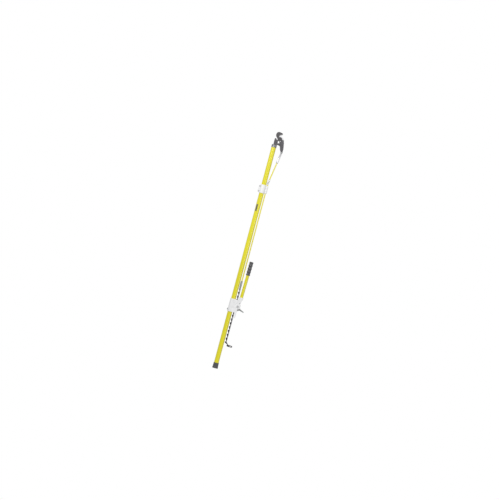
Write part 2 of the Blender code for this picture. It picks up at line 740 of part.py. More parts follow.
def ratchet_frame():
    """The casting on the pole, with a side plate before and behind the chain."""
    frame = lathe("ratchet_frame", bar_profile(CLAMP_R - 0.5, FRAME_LOW, FRAME_HIGH, 1.5), CAST)
    side = hull([(4, 567.2, 9), (44, 567.2, 9), (45, 540, 9), (44, 479, 7), (6, 480.5, 9)])
    spur = hull([(47, 482, 7), (48.5, 432, 4)])
    nose = hull([(40, AXIS_Z, FRAME_NOSE_R), (AXIS_U, AXIS_Z, FRAME_NOSE_R)])
    arm = hull([(AXIS_U, AXIS_Z - 4, 10), (*HOLD_PIVOT, 7.5), (44, 492, 8)])
    pieces = [
        ("front_side", side, -SIDE_OUT, -SIDE_IN),
        ("rear_side", side, SIDE_IN, SIDE_OUT),
        ("front_nose", nose, -SIDE_OUT - 0.4, -SIDE_IN + 0.3),
        ("rear_nose", nose, SIDE_IN - 0.3, SIDE_OUT + 0.4),
        ("rear_arm", arm, SIDE_IN - 0.15, SIDE_OUT + 0.2),
        ("front_spur", spur, -SIDE_OUT + 0.35, -SIDE_IN - 0.35),
        ("rear_spur", spur, SIDE_IN + 0.35, SIDE_OUT - 0.35),
    ]
    for name, shape, a, b in pieces:
        cut(frame, place(name, prism(shape, a, b), None), "UNION")
    hole = rod_y(SHAFT_R + SEAT, -40, 40, AXIS_U, AXIS_Z)
    cut(frame, place("shaft_hole", hole, None))
    hole = rod_y(PAWL_PIN_R + SEAT, -40, 40, *HOLD_PIVOT, 16)
    cut(frame, place("pawl_hole", hole, None))
    screw = lathe("screw_hole", bar_profile(4.3, 15, 40), None, (0, 0, 488.0), -math.pi / 2, 16)
    cut(frame, screw)
    bore = bar_profile(POLE_R + SEAT, FRAME_LOW - 60, FRAME_HIGH + 9)
    cut(frame, lathe("frame_bore", bore, None))
    path = [(21.0, 380), (60, 380), (60, 600), (21.0, 600)]
    cut(frame, place("chain_path", prism(path, -11.0, 11.0), None))
    shank = bar_profile(4.0, POLE_R + SEAT + 0.2, 24.5, 0.3)
    made = lathe("frame_screw", shank, ZINC, (0, 0, 488.0), -math.pi / 2, 16)
    head = prism(circle(0, 0, 6.5, 6), 0.0, 4.5)
    turn = Matrix.Rotation(math.pi / 2, 3, "X")
    bmesh.ops.rotate(head, cent=(0, 0, 0), matrix=turn, verts=head.verts[:])
    bmesh.ops.translate(head, vec=(0, 0, 24.0), verts=head.verts[:])
    cut(made, place("screw_head", head, None, (0, 0, 488.0), -math.pi / 2), "UNION")


def sprocket_outline():
    """The widest outline that clears a straight run of rollers at every turn."""
    per_tooth = 10
    step = 2.0 * math.pi / WHEEL_TEETH
    radii = np.arange(PITCH_R + 2.6, PITCH_R - 7.0, -0.1)
    phases = np.linspace(-1.4 * step, 1.4 * step, 141)
    half = []
    for k in range(per_tooth):
        angle = math.pi + step * k / per_tooth
        a = angle + phases[:, None]
        x = radii[None, :] * np.cos(a) + PITCH_R
        y = radii[None, :] * np.sin(a)
        shift = -PITCH_R * phases[:, None]
        half_step = TOOTH_PITCH / 2
        nearest = np.abs((y - shift + half_step) % TOOTH_PITCH - half_step)
        gap = np.hypot(x, nearest) - ROLLER_R
        clear = (gap > 0.25).all(axis=0)
        solid = np.flatnonzero(np.logical_and.accumulate(clear[::-1])[::-1])
        half.append(float(radii[solid[0]]))
    out = []
    for tooth in range(WHEEL_TEETH):
        for k in range(per_tooth):
            a = math.pi + step * (tooth + k / per_tooth)
            out.append((half[k] * math.cos(a), half[k] * math.sin(a)))
    return out


def wheel_pieces():
    """The chain sprocket and the ratchet wheel on one shaft."""
    home = (AXIS_U, 0.0, AXIS_Z)
    wheel = place("sprocket", prism(sprocket_outline(), -4.3, 4.3), ZINC, home)
    cut(wheel, place("hub", rod_y(HUB_R, -11.2, 17.8, 0, 0, 32), None, home), "UNION")
    bore = rod_y(SHAFT_R + RUN, -40, 40, 0, 0)
    cut(wheel, place("sprocket_bore", bore, None, home))
    step = 360.0 / RATCHET_TEETH
    outline = []
    for tooth in range(RATCHET_TEETH):
        start = STEEP_AT + tooth * step
        outline.append((RATCHET_ROOT, start - 0.6))
        for part in (0.0, 0.08, 0.36, 0.64, 0.88):
            r = RATCHET_TIP - (RATCHET_TIP - RATCHET_ROOT) * max(part - 0.08, 0.0) / 0.85
            outline.append((r, start + part * step))
    points = [
        (r * math.cos(math.radians(a)), r * math.sin(math.radians(a))) for r, a in outline
    ]
    ratchet = place("ratchet_wheel", prism(points, *RATCHET_Y), STEEL, home)
    bore = rod_y(SHAFT_R + SEAT, -40, 40, 0, 0)
    cut(ratchet, place("ratchet_bore", bore, None, home))
    shaft = rod_y(SHAFT_R, -29.0, 29.0, AXIS_U, AXIS_Z)
    place("ratchet_shaft", shaft, STEEL)
    for name, a, b in (("shaft_ring_front", -28.6, -27.2), ("shaft_ring_rear", 27.2, 28.6)):
        ring = place(name, rod_y(9.5, a, b, AXIS_U, AXIS_Z), ZINC)
        hole = rod_y(SHAFT_R + SEAT, -40, 40, AXIS_U, AXIS_Z)
        cut(ring, place(name + "_hole", hole, None))


def pawls():
    """The holding pawl with its finger, and the driving pawl on the lever."""
    n = math.radians(HOLD_NOSE)
    tip = (AXIS_U + NOSE_AT * math.cos(n), AXIS_Z + NOSE_AT * math.sin(n))
    u, z = HOLD_PIVOT
    home = (u, 0.0, z)
    body = hull([(0, 0, 6), (tip[0] - u, tip[1] - z, NOSE_R)])
    pawl = place("holding_pawl", prism(body, *RATCHET_Y), ZINC, home)
    finger = hull([(0, 0, 6), (FINGER_END[0] - u, FINGER_END[1] - z, 4.2)])
    y0 = RATCHET_Y[0] - 0.4
    cut(pawl, place("finger", prism(finger, y0, RATCHET_Y[1] + 0.4), None, home), "UNION")
    tool = rod_y(PAWL_PIN_R + RUN, -40, 40, 0, 0, 16)
    cut(pawl, place("holding_hole", tool, None, home))
    pin = place("pawl_pin", rod_y(PAWL_PIN_R, -20.5, SIDE_OUT + 0.4, u, z, 16), STEEL)
    head = rod_y(5.2, -20.6, -18.4, u, z, 16)
    cut(pin, place("pawl_pin_head", head, None), "UNION")
    n = math.radians(DRIVE_NOSE)
    tip = (AXIS_U + NOSE_AT * math.cos(n), AXIS_Z + NOSE_AT * math.sin(n))
    u, z = drive_pivot()
    home = (u, 0.0, z)
    body = hull([(0, 0, 6), (tip[0] - u, tip[1] - z, NOSE_R)])
    pawl = place("driving_pawl", prism(body, *RATCHET_Y), ZINC, home)
    tool = rod_y(PAWL_PIN_R + RUN, -40, 40, 0, 0, 16)
    cut(pawl, place("driving_hole", tool, None, home))


def drive_pivot():
    """Where the driving pawl turns on the lever."""
    a = math.radians(DRIVE_PIVOT_AT)
    return (AXIS_U + DRIVE_PIVOT_R * math.cos(a), AXIS_Z + DRIVE_PIVOT_R * math.sin(a))


# Lever

def lever_pieces():
    """The yoke astride the frame, its tube and its finger-groove grip."""
    home = (AXIS_U, 0.0, AXIS_Z)
    t = math.radians(LEVER_TILT)
    low = 54.0
    high = 72.0
    shift = LEVER_SHIFT
    stem = (AXIS_U + shift * math.cos(t), 0.0, AXIS_Z - shift * math.sin(t))
    side = hull([(0, 0, 12.5), (shift, 60, 11.5)])
    yoke = place("lever_yoke", prism(side, -YOKE_OUT, -YOKE_IN), CAST, home, t)
    rear = prism(side, YOKE_IN, YOKE_OUT)
    cut(yoke, place("yoke_rear", rear, None, home, t), "UNION")
    bridge = hull([(shift - 8, low + 4.5, 4.5), (shift + 8, low + 4.5, 4.5),
                   (shift - 10.5, high - 5, 4.5), (shift + 10.5, high - 5, 4.5)])
    solid = prism(bridge, -YOKE_OUT + 0.6, YOKE_OUT - 0.6)
    cut(yoke, place("yoke_bridge", solid, None, home, t), "UNION")
    collar = lathe("yoke_collar", bar_profile(16.0, low + 2, high + 4.0, 1.0), None, stem, t, 32)
    cut(yoke, collar, "UNION")
    bore = lathe("yoke_bore", bar_profile(LEVER_R + SEAT, LEVER_LOW - SEAT, 120), None, stem, t, 32)
    cut(yoke, bore)
    hole = rod_y(SHAFT_R + RUN, -40, 40, 0, 0)
    cut(yoke, place("yoke_hole", hole, None, home, t))
    u, z = drive_pivot()
    hole = rod_y(PAWL_PIN_R + SEAT, -40, -10, u, z, 16)
    cut(yoke, place("yoke_pin_hole", hole, None))
    pin = prism(circle(u - AXIS_U, z - AXIS_Z, PAWL_PIN_R, 16), -YOKE_OUT, -9.0)
    place("drive_pawl_pin", pin, STEEL, home)
    inner = LEVER_R - LEVER_WALL
    tube = ring_profile(inner, LEVER_R, LEVER_LOW, GRIP_HIGH - 6.0)
    lathe("lever_tube", tube, YELLOW, stem, t, 32)
    grip = [(0.0, GRIP_HIGH - 5.7), (LEVER_R + SEAT, GRIP_HIGH - 5.7), (LEVER_R + SEAT, GRIP_LOW)]
    grip += [(GRIP_R - 0.6, GRIP_LOW), (GRIP_R + 0.6, GRIP_LOW + 1.5), (GRIP_R + 0.6, GRIP_LOW + 4.0)]
    span = GRIP_HIGH - 8.0 - GRIP_LOW - 5.0
    for k in range(1, 25):
        z = GRIP_LOW + 5.0 + span * k / 25.0
        grip.append((GRIP_R - 0.5 - 1.1 * math.cos(2.0 * math.pi * 4.0 * k / 25.0 + math.pi), z))
    for k in range(0, 6):
        a = math.radians(90.0 * k / 5.0)
        r = 9.0 + (GRIP_R - 9.0) * math.cos(a)
        grip.append((r, GRIP_HIGH - 7.0 + 7.0 * math.sin(a)))
    grip.append((0.0, GRIP_HIGH))
    lathe("lever_grip", grip[::-1], BLACK, stem, t, 24)


pole_pieces()
ferrule()
fixed_handle()
hook_blade()
cutting_blade()
cutter_arm()
head_bolts()
link_pieces()
rod_pieces()
chain_pieces()
guide_pieces()
ratchet_frame()
wheel_pieces()
pawls()
lever_pieces()
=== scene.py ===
import math

import bmesh
import bpy
import numpy as np
from mathutils import Matrix, Vector


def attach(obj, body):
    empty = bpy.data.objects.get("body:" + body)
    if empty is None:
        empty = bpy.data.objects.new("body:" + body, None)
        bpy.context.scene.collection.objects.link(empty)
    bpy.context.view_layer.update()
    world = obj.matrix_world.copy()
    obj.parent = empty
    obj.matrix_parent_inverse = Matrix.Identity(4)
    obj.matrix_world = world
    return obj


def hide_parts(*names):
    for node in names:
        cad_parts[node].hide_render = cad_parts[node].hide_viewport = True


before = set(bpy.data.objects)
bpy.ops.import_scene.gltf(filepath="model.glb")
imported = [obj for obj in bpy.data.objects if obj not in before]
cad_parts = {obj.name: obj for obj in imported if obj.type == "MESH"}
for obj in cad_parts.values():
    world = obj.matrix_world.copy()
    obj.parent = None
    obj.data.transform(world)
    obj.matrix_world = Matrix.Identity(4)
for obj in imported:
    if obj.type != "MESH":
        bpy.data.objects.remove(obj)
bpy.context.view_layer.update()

# Sizes in millimetres, turned to metres by MM
MM = 0.001
SEAT = 0.3
POLE_R = 19.05
POLE_BORE = 15.85
POLE_BOTTOM = 3.3
POLE_TOP = 1835.0
POLE_RINGS = 41
CAP_DEPTH = 45.0
CAP_WALL = 1.75
CAP_FLARE = 2.7
FERRULE_R = 20.5
FERRULE_H = 24.0
SPIGOT_LEN = 60.0
ROD_U = 30.0
ROD_R = 4.76
ROD_EASE = 0.5
ROD_LOW = 704.0
ROD_HIGH = 1537.1
LINK_FOOT_Z = 1547.0
LINK_HEAD_U = 71.2
LINK_HEAD_DOWN = 27.0
LINK_ROD_LOW = 15.5
CLEVIS_LEN = 60.0
BLADE_PIVOT = (29.0, 4.0, 1906.5)
EDGE_RISE = 4.0
EDGE_FADE = (22.8, 23.6)
AXIS_Z = 525.0
LINK_PITCH = 31.75
SPROCKET_TEETH = 8
LINKS_ABOVE_AXIS = 4.5
LINKS_DOWN = 14
TAIL_TURNS = (42.5, 88.0)
PLATE_R = 7.2
PLATE_WAIST = 4.4
PLATE_EASE = 0.3
# Chain plates are painted dark up to the first distance from a joint and bright past the
# second: partly the dark of the pins, partly painted shade where the plates overlap
PLATE_JOINT_SHADE = (6.2, 7.2)
INNER_Y = (4.8, 6.8)
OUTER_Y = (7.1, 9.1)
PIN_R = 2.5
PIN_HALF = 10.1
PIN_EASE = 0.5
ROLLER_R = 5.08
ROLLER_HALF = 4.5
ROLLER_INSET = 0.38
ROLLER_EASE = 0.4
LEVER_SHIFT = 8.1
LEVER_R = 12.7
LEVER_BORE = 10.3
LEVER_LOW = 58.5
LEVER_HIGH = 369.0
GRIP_LOW = 262.0
GRIP_HIGH = 375.0
GRIP_R = 15.5
GROOVE = 1.1
GROOVES = 4
GROOVE_STEPS = 97
DOME_R = 7.0
DOME_IN = 9.0
LEVER_TILT = math.radians(1.15)
CREASE = math.radians(32)

# Flat sides round each turned piece
POLE_SIDES = 96
GRIP_SIDES = 72
TUBE_SIDES = 64
ROD_SIDES = 48
PIN_SIDES = 24

# The links are of double length: the sprocket's teeth are half a link apart
WHEEL_R = 0.5 * LINK_PITCH / (2.0 * math.sin(math.pi / SPROCKET_TEETH))
AXIS = np.array((ROD_U + WHEEL_R, 0.0, AXIS_Z))
LINK_LOW = np.array((ROD_U, 0.0, LINK_FOOT_Z))
LINK_TOP = np.array((LINK_HEAD_U, 0.0, POLE_TOP - LINK_HEAD_DOWN))
LEVER_UP = np.array((math.sin(LEVER_TILT), 0.0, math.cos(LEVER_TILT)))
LEVER_OUT = np.array((math.cos(LEVER_TILT), 0.0, -math.sin(LEVER_TILT)))
LEVER_FOOT = AXIS + LEVER_SHIFT * LEVER_OUT
UPRIGHT = np.array((0.0, 0.0, 1.0))
ACROSS = np.array((0.0, 1.0, 0.0))


def chain_joints():
    """The chain's pins: one pitch apart, straight down, then along the tail's turns."""
    top = AXIS_Z + LINKS_ABOVE_AXIS * LINK_PITCH
    turns = np.radians(np.concatenate((np.zeros(LINKS_DOWN), TAIL_TURNS)))
    steps = LINK_PITCH * np.stack((np.sin(turns), -np.cos(turns)), axis=1)
    return np.vstack(((ROD_U, top), (ROD_U, top) + np.cumsum(steps, axis=0)))


JOINTS = chain_joints()


# Surfaces

def rounded(points, reach=0.5, steps=3):
    """A profile whose corners b become b + u (1 - t)^2 + w t^2, where u and w reach
    back along the corner's two sides, by less than half of either."""
    p = np.array(points, float)
    b = p[1:-1]
    back = p[:-2] - b
    on = p[2:] - b
    far_back = np.linalg.norm(back, axis=1, keepdims=True)
    far_on = np.linalg.norm(on, axis=1, keepdims=True)
    size = np.minimum(reach, 0.45 * np.minimum(far_back, far_on))
    t = np.linspace(0.0, 1.0, steps + 1)[None, :, None]
    u = (back / far_back * size)[:, None]
    w = (on / far_on * size)[:, None]
    curve = b[:, None] + u * (1.0 - t) ** 2 + w * t**2
    return np.vstack((p[:1], curve.reshape(-1, 2), p[-1:]))


def revolve(profile, base, direction, count):
    """A profile r, h turned about a line: at angle a the point is
    base + h * axis + r * (cos a * side + sin a * other side)."""
    axis = direction / np.linalg.norm(direction)
    hint = UPRIGHT if abs(axis[1]) > 0.9 else ACROSS
    side = np.cross(hint, axis)
    side = side / np.linalg.norm(side)
    other = np.cross(axis, side)
    r, h = np.asarray(profile, float).T
    a = np.linspace(0.0, 2.0 * math.pi, count, endpoint=False)
    ring = np.outer(np.cos(a), side) + np.outer(np.sin(a), other)
    return base + h[:, None, None] * axis + r[:, None, None] * ring


def slab(outline, y0, y1):
    """A flat plate between two heights of Y: its outline four times over, the first
    and last drawn in towards its centre by the ease."""
    out = outline - outline.mean(axis=0)
    drawn = outline - out / np.linalg.norm(out, axis=1, keepdims=True) * PLATE_EASE
    heights = (y0, y0 + PLATE_EASE, y1 - PLATE_EASE, y1)
    rows = []
    for y, ring in zip(heights, (drawn, outline, outline, drawn)):
        rows.append(np.stack((ring[:, 0], np.full(len(ring), y), ring[:, 1]), axis=1))
    return np.array(rows)


def belt(a, b, count=14, waist_points=6):
    """A chain plate's outline: an arc round a, one side, an arc round b and the other
    side. The sides draw in to the waist by a cosine. The arc round a runs backwards,
    so the outline crosses itself once beside a, and much of a plate made from it has
    faces that point inwards."""
    along = (b - a) / np.linalg.norm(b - a)
    across = np.array((-along[1], along[0]))
    t = math.pi * (np.arange(count + 1) / count - 0.5)
    arc = PLATE_R * (np.outer(np.cos(t), along) + np.outer(np.sin(t), across))
    s = np.arange(1, waist_points)[:, None] / waist_points
    middle = a + (b - a) * s
    half = PLATE_R - PLATE_WAIST * 0.5 * (1.0 - np.cos(2.0 * math.pi * s))
    sides = (middle - across * half, (middle + across * half)[::-1])
    return np.vstack(((a - arc)[::-1], sides[0], b + arc, sides[1]))


def grid_faces(grid, first, ends):
    """Quads between the rows of a grid that closes round its second side. The last row
    joins the first, or each end gets a flat face, or is a point that is merged."""
    rows, count = grid.shape[:2]
    top = np.arange(rows if ends == "joined" else rows - 1)[:, None] * count
    low = (top + count) % (rows * count)
    k = np.arange(count)
    n = (k + 1) % count
    quads = first + np.stack((top + k, low + k, low + n, top + n), axis=-1)
    faces = quads.reshape(-1, 4).tolist()
    if ends == "flat":
        faces.append((first + k).tolist())
        faces.append((first + (rows - 1) * count + k[::-1]).tolist())
    return faces


def mesh_object(name, grids, look, body, ends="points"):
    """One object at the origin from grids of points in millimetres, riding on a body.
    Its normals are recalculated, which turns its faces outwards unless an outline
    crosses itself."""
    verts = []
    faces = []
    first = 0
    for grid in grids:
        faces += grid_faces(grid, first, ends)
        verts.append(grid.reshape(-1, 3))
        first += len(verts[-1])
    mesh = bpy.data.meshes.new(name)
    mesh.from_pydata((np.concatenate(verts) * MM).tolist(), [], faces)
    mesh.update()
    mesh.shade_smooth()
    mesh.set_sharp_from_angle(angle=CREASE)
    bm = bmesh.new()
    bm.from_mesh(mesh)
    bmesh.ops.remove_doubles(bm, verts=bm.verts[:], dist=1e-7)
    bmesh.ops.recalc_face_normals(bm, faces=bm.faces[:])
    bm.to_mesh(mesh)
    bm.free()
    mesh.materials.append(look)
    obj = bpy.data.objects.new(name, mesh)
    bpy.context.scene.collection.objects.link(obj)
    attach(obj, body)
    return obj


# Materials

def calculate(tree, kind, *values):
    """A Math node whose inputs are sockets or numbers."""
    node = tree.nodes.new("ShaderNodeMath")
    node.operation = kind
    for socket, value in zip(node.inputs, values):
        if isinstance(value, float):
            socket.default_value = value
        else:
            tree.links.new(value, socket)
    return node.outputs["Value"]


def on_vectors(tree, kind, first, second, result="Vector"):
    """A Vector Math node of a socket and a fixed vector, or of a socket alone."""
    node = tree.nodes.new("ShaderNodeVectorMath")
    node.operation = kind
    tree.links.new(first, node.inputs[0])
    if second is not None:
        node.inputs[1].default_value = second
    return node.outputs[result]


def spread(tree, value, low, high, to_low=0.0, to_high=1.0):
    """A Map Range node, clamped."""
    node = tree.nodes.new("ShaderNodeMapRange")
    settings = (("From Min", low), ("From Max", high), ("To Min", to_low), ("To Max", to_high))
    for key, number in settings:
        node.inputs[key].default_value = number
    tree.links.new(value, node.inputs["Value"])
    return node.outputs["Result"]


def component(tree, vector, key):
    """One of a vector's X, Y and Z."""
    node = tree.nodes.new("ShaderNodeSeparateXYZ")
    tree.links.new(vector, node.inputs["Vector"])
    return node.outputs[key]


def mixed(tree, amount, first, second):
    """A colour between two others, each a colour or a socket."""
    node = tree.nodes.new("ShaderNodeMix")
    node.data_type = "RGBA"
    tree.links.new(amount, node.inputs["Factor"])
    for key, value in (("A", first), ("B", second)):
        if isinstance(value, tuple):
            node.inputs[key].default_value = (*value, 1.0)
        else:
            tree.links.new(value, node.inputs[key])
    return node.outputs["Result"]


def look_of(name, colour, rough, metal=0.0, coat=0.0, grain=900.0, stretch=1.0, bump=0.15,
            wear=0.12, dirt=(0.5, 0.48, 0.44), bare_or_unshaded=None, shine=(0.78, 0.78, 0.79)):
    """A finish from noise in object coordinates: tone and roughness drift over
    centimetres, a fine grain lifts the surface, a sparse mask adds wear, and the
    last mask says where bare metal shows or, on the chain, where the plates are
    clear of the painted shade round their joints."""
    made = bpy.data.materials.new(name)
    made.use_nodes = True
    tree = made.node_tree
    shader = tree.nodes["Principled BSDF"]
    shader.inputs["Metallic"].default_value = metal
    shader.inputs["Coat Weight"].default_value = coat
    shader.inputs["Coat Roughness"].default_value = 0.12
    where = tree.nodes.new("ShaderNodeTexCoord").outputs["Object"]
    room = tree.nodes.new("ShaderNodeMapping")
    room.inputs["Scale"].default_value = (1.0, 1.0, stretch)
    tree.links.new(where, room.inputs["Vector"])

    def noise(scale, detail, rough_in=0.55):
        """Noise at a scale, along the stretched coordinates."""
        node = tree.nodes.new("ShaderNodeTexNoise")
        node.inputs["Scale"].default_value = scale
        node.inputs["Detail"].default_value = detail
        node.inputs["Roughness"].default_value = rough_in
        tree.links.new(room.outputs["Vector"], node.inputs["Vector"])
        return node.outputs["Fac"]

    broad = noise(35.0, 3.0)
    fine = noise(grain, 2.0)
    spots = noise(260.0, 5.0, 0.7)
    darker = tuple(c * 0.86 for c in colour)
    tone = mixed(tree, spread(tree, broad, 0.3, 0.7), darker, colour)
    tone = mixed(tree, spread(tree, spots, 0.62, 0.75, 0.0, wear), tone, dirt)
    if bare_or_unshaded is not None:
        tone = mixed(tree, bare_or_unshaded(tree, where), tone, shine)
    tree.links.new(tone, shader.inputs["Base Color"])
    roughness = spread(tree, broad, 0.3, 0.7, rough * 0.85, rough * 1.15)
    tree.links.new(roughness, shader.inputs["Roughness"])
    lift = tree.nodes.new("ShaderNodeBump")
    lift.inputs["Strength"].default_value = bump
    lift.inputs["Distance"].default_value = 0.0002
    tree.links.new(fine, lift.inputs["Height"])
    tree.links.new(lift.outputs["Normal"], shader.inputs["Normal"])
    return made


def slanted(tree, where):
    """1 where the normal's Y is 0.5, give or take 0.3: on the ground bevels, which
    lean between the front and the sides."""
    normal = tree.nodes.new("ShaderNodeNewGeometry").outputs["True Normal"]
    size = calculate(tree, "ABSOLUTE", component(tree, normal, "Y"))
    return calculate(tree, "COMPARE", size, 0.5, 0.3)


def near_edge(tree, where):
    """1 far from the blade's pivot and above it: the ground edge."""
    near, far = EDGE_FADE
    from_pivot = on_vectors(tree, "SUBTRACT", where, [v * MM for v in BLADE_PIVOT])
    reach = on_vectors(tree, "LENGTH", from_pivot, None, "Value")
    above = calculate(tree, "GREATER_THAN", component(tree, from_pivot, "Z"), EDGE_RISE * MM)
    return calculate(tree, "MULTIPLY", spread(tree, reach, near * MM, far * MM), above)


def clear_of_joint_shade(tree, where):
    """1 along the bright middle of each chain link, 0 round its joints, where the plate is
    painted dark: partly the dark of the pins, partly painted shade where the plates
    overlap. By height on the straight run, by distance on the tail."""
    dark, bright = PLATE_JOINT_SHADE
    flat = on_vectors(tree, "MULTIPLY", where, (1.0, 0.0, 1.0))
    distances = []
    for u, z in JOINTS[-3:] * MM:
        distances.append(on_vectors(tree, "DISTANCE", flat, (u, 0.0, z), "Value"))
    nearest = calculate(tree, "MINIMUM", distances[0], distances[1])
    nearest = calculate(tree, "MINIMUM", nearest, distances[2])
    bend = float(JOINTS[-3][1])
    height = component(tree, where, "Z")
    down = calculate(tree, "SUBTRACT", height, bend * MM)
    fold = calculate(tree, "PINGPONG", down, 0.5 * LINK_PITCH * MM)
    pick = tree.nodes.new("ShaderNodeMix")
    straight = calculate(tree, "GREATER_THAN", height, (bend + 0.5) * MM)
    tree.links.new(straight, pick.inputs["Factor"])
    tree.links.new(nearest, pick.inputs["A"])
    tree.links.new(fold, pick.inputs["B"])
    return spread(tree, pick.outputs["Result"], dark * MM, bright * MM)


YELLOW = look_of("fibreglass_yellow", (0.86, 0.78, 0.012), 0.3, coat=0.5, grain=1500.0,
                 stretch=0.05, bump=0.12, wear=0.06, dirt=(0.45, 0.42, 0.1))
RUBBER = look_of("grip_rubber", (0.075, 0.075, 0.08), 0.4, coat=0.4, grain=2600.0, bump=0.3,
                 wear=0.2, dirt=(0.16, 0.16, 0.16))
CAP = look_of("cap_rubber", (0.085, 0.085, 0.09), 0.55, grain=2200.0, bump=0.3, wear=0.25,
              dirt=(0.2, 0.2, 0.19))
DARK = look_of("head_dark", (0.12, 0.115, 0.125), 0.42, 0.35, grain=1400.0, bump=0.3,
               wear=0.2, dirt=(0.28, 0.27, 0.28))
HOOK = look_of("hook_dark", (0.12, 0.115, 0.12), 0.4, 0.35, grain=1400.0, bump=0.25,
               wear=0.2, dirt=(0.28, 0.27, 0.28), bare_or_unshaded=slanted)
BLADE = look_of("blade_dark", (0.12, 0.115, 0.12), 0.4, 0.35, grain=1400.0, bump=0.25,
                wear=0.2, dirt=(0.28, 0.27, 0.28), bare_or_unshaded=near_edge)
DULL = look_of("steel_dull", (0.3, 0.3, 0.31), 0.4, 0.7, grain=2000.0, stretch=6.0, bump=0.2,
               wear=0.15, dirt=(0.22, 0.22, 0.21))
BRIGHT = look_of("steel_bright", (0.8, 0.8, 0.81), 0.28, 0.6, grain=2000.0, bump=0.15, wear=0.1)
ZINC = look_of("zinc_plate", (0.42, 0.44, 0.43), 0.38, 0.7, grain=1800.0, bump=0.2, wear=0.2,
               dirt=(0.3, 0.3, 0.28))
# The chain plates are near black round each joint, partly the dark of the pins and partly
# painted shade where the plates overlap, and bright steel between the joints
LINKS = look_of("chain_joint_painted_shade", (0.06, 0.058, 0.056), 0.45, 0.1, grain=1800.0, bump=0.2,
                wear=0.2, dirt=(0.2, 0.2, 0.19), bare_or_unshaded=clear_of_joint_shade, shine=(0.93, 0.93, 0.93))
CAST = look_of("cast_aluminium", (0.92, 0.92, 0.925), 0.55, 0.08, grain=1100.0, bump=0.5,
               wear=0.1, dirt=(0.6, 0.6, 0.59))
NYLON = look_of("nylon_white", (0.86, 0.86, 0.83), 0.45, grain=1500.0, bump=0.1)
FOAM = look_of("foam_fill", (0.8, 0.76, 0.6), 0.9, grain=1200.0, bump=0.5)
LABEL = look_of("label_film", (0.11, 0.11, 0.11), 0.45, grain=1500.0, bump=0.1)

LOOKS = {
    "pole_tube": YELLOW, "upper_rod": YELLOW, "lower_rod": YELLOW, "lever_tube": YELLOW,
    "butt_cap": CAP, "lever_grip": RUBBER, "foam_core": FOAM, "blank_label": LABEL,
    "guide_bushing": NYLON, "guide_clamp": CAST, "ratchet_frame": CAST, "lever_yoke": CAST,
    "fixed_handle": DARK, "cutter_arm": DARK, "hook_blade": HOOK, "cutting_blade": BLADE,
    "head_ferrule": DULL, "link_clevis": BRIGHT, "link_eye": BRIGHT, "rod_coupler": BRIGHT,
    "link_nut": BRIGHT, "ratchet_wheel": CAST, "sprocket": CAST, "ratchet_shaft": BRIGHT,
    "shaft_ring_front": BRIGHT, "shaft_ring_rear": BRIGHT, "guide_bolt_0": BRIGHT,
    "guide_bolt_0_nut": BRIGHT, "guide_bolt_1": BRIGHT, "guide_bolt_1_nut": BRIGHT,
    "blade_pivot": DARK, "drive_pin": DARK, "arm_bolt": DARK, "arm_bolt_nut": DARK,
    "hook_bolt": DARK, "hook_bolt_nut": DARK,
}
EASED = {
    "fixed_handle": 0.8, "cutter_arm": 0.7, "guide_clamp": 0.8, "ratchet_frame": 0.6,
    "lever_yoke": 0.6, "holding_pawl": 0.4, "chain_fork": 0.4, "link_clevis": 0.4,
}


def dress(nodes):
    """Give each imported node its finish, and the cast and forged ones eased edges."""
    for name, obj in nodes.items():
        obj.data.materials.clear()
        obj.data.materials.append(LOOKS.get(name, ZINC))
        if name in EASED:
            step = obj.modifiers.new("eased", "BEVEL")
            step.width = EASED[name] * MM
            step.segments = 2
            step.limit_method = "ANGLE"
            step.angle_limit = math.radians(40)
            step.use_clamp_overlap = True
            step.harden_normals = False


# Pieces

def pole():
    """The gel-coated tube, the butt cap and the turned ferrule."""
    lip = POLE_R - 0.45
    heights = np.linspace(POLE_TOP - 0.5, POLE_BOTTOM + 0.5, POLE_RINGS)
    tube = [(POLE_BORE, POLE_TOP), (17.0, POLE_TOP), (lip, POLE_TOP)]
    tube += [(POLE_R, h) for h in heights]
    tube += [(lip, POLE_BOTTOM), (POLE_BORE, POLE_BOTTOM)]
    grid = revolve(tube, np.zeros(3), UPRIGHT, POLE_SIDES)
    made = mesh_object("pole_skin", [grid], YELLOW, "pole", "joined")
    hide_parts("pole_tube")
    floor = POLE_BOTTOM - SEAT
    bore = POLE_R + SEAT
    rim = POLE_R + CAP_WALL
    foot = rim + CAP_FLARE
    cap = [
        (0.0, floor), (bore, floor), (bore, CAP_DEPTH), (rim, CAP_DEPTH),
        (rim + 0.5, CAP_DEPTH - 1.0), (rim + 0.8, 16.0), (foot - 0.1, 7.0), (foot, 1.2),
        (foot - 1.2, 0.0), (0.0, 0.0),
    ]
    grid = revolve(rounded(cap, 0.9), np.zeros(3), UPRIGHT, POLE_SIDES)
    made = mesh_object("butt_cap_skin", [grid], CAP, "pole")
    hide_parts("butt_cap")
    r = FERRULE_R
    h = FERRULE_H
    spigot = POLE_BORE - SEAT
    plug = [
        (0.0, h), (r - 3.0, h), (r, h - 3.0), (r, 13.6), (r - 0.4, 13.2), (r - 0.4, 12.4),
        (r, 12.0), (r, 5.0), (r + 0.5, 4.5), (r + 0.5, 0.8), (r, SEAT), (spigot, SEAT),
        (spigot, 1.0 - SPIGOT_LEN), (14.5, -SPIGOT_LEN), (0.0, -SPIGOT_LEN),
    ]
    grid = revolve(rounded(plug, 0.35), POLE_TOP * UPRIGHT, UPRIGHT, POLE_SIDES)
    made = mesh_object("ferrule_skin", [grid], DULL, "pole")
    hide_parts("head_ferrule")


def bar(r, low, high, inset, ease):
    """A round bar's profile, from its top to its foot: each end's face is smaller than
    the bar by the inset, and the slope between them is as high as the ease."""
    face = r - inset
    return [
        (0.0, high), (face, high), (r, high - ease), (r, low + ease), (face, low), (0.0, low),
    ]


